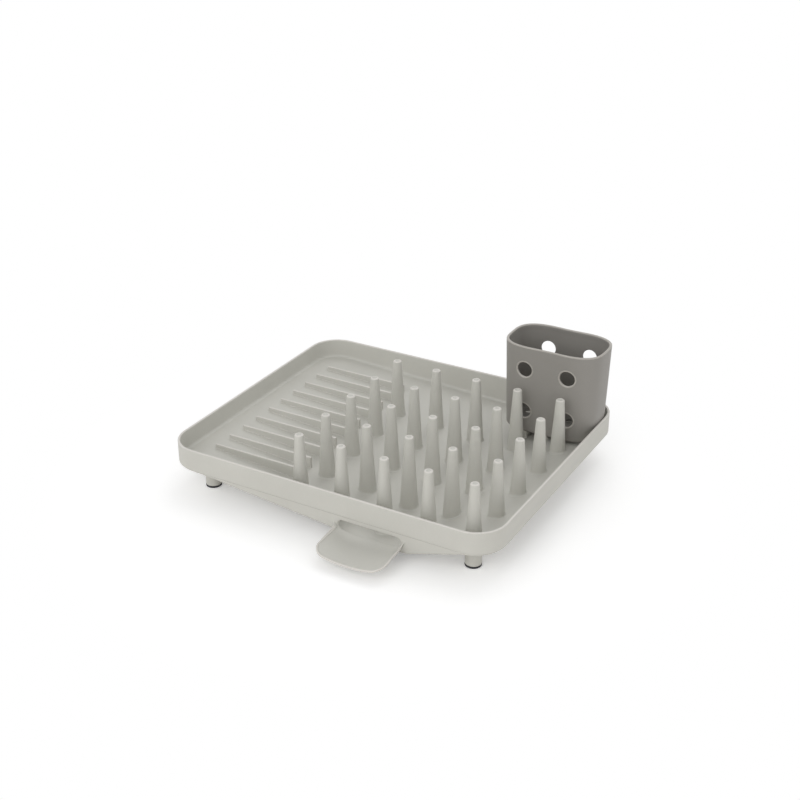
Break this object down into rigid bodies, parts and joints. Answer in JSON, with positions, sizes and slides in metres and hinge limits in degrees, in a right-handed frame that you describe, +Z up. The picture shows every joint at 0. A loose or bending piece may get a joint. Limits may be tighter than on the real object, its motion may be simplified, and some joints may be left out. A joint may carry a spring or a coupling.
{
  "type": "dish draining rack",
  "caption": "Compact dish draining rack: a moulded tray with tapered plate prongs, low glass ribs, a pouring spout and padded legs, and a waisted cutlery holder that lifts out",
  "frame": {"origin": "centre of the footprint, spout included, at the plane that the pads stand on", "axes": "+X is the tray's right side seen from the spout, +Y points to the back, away from the spout, and +Z is up"},
  "size_m": [0.365, 0.3488, 0.134],
  "materials": {
    "tray_plastic": "fine satin moulded plastic, pale warm grey",
    "holder_plastic": "fine satin moulded plastic, taupe grey",
    "pad_rubber": "soft matte, near black"
  },
  "bodies": {
    "rack": {"tray": "tray_plastic", "foot_pad_front_left": "pad_rubber", "foot_pad_front_right": "pad_rubber", "foot_pad_rear_left": "pad_rubber", "foot_pad_rear_right": "pad_rubber", "prong_row1_1": "tray_plastic", "prong_row1_2": "tray_plastic", "prong_row1_3": "tray_plastic", "prong_row1_4": "tray_plastic", "prong_row1_5": "tray_plastic", "prong_row2_1": "tray_plastic", "prong_row2_2": "tray_plastic", "prong_row2_3": "tray_plastic", "prong_row2_4": "tray_plastic", "prong_row2_5": "tray_plastic", "prong_row3_1": "tray_plastic", "prong_row3_2": "tray_plastic", "prong_row3_3": "tray_plastic", "prong_row3_4": "tray_plastic", "prong_row3_5": "tray_plastic", "prong_row4_1": "tray_plastic", "prong_row4_2": "tray_plastic", "prong_row4_3": "tray_plastic", "prong_row4_4": "tray_plastic", "prong_row4_5": "tray_plastic", "prong_row5_1": "tray_plastic", "prong_row5_2": "tray_plastic", "prong_row5_3": "tray_plastic", "prong_row5_4": "tray_plastic", "prong_row5_5": "tray_plastic", "glass_rib_1": "tray_plastic", "glass_rib_2": "tray_plastic", "glass_rib_3": "tray_plastic", "glass_rib_4": "tray_plastic", "glass_rib_5": "tray_plastic", "glass_rib_6": "tray_plastic", "glass_rib_7": "tray_plastic", "glass_rib_8": "tray_plastic", "glass_rib_9": "tray_plastic", "glass_rib_10": "tray_plastic", "holder_rest_1": "tray_plastic", "holder_rest_2": "tray_plastic", "holder_rest_3": "tray_plastic"},
    "holder": {"cutlery_holder": "holder_plastic"}
  },
  "joints": [
    {"name": "cutlery_holder_lift", "type": "slide", "parent": "rack", "child": "holder", "axis": [0, 0, 1], "range_m": [0, 0.1]}
  ]
}
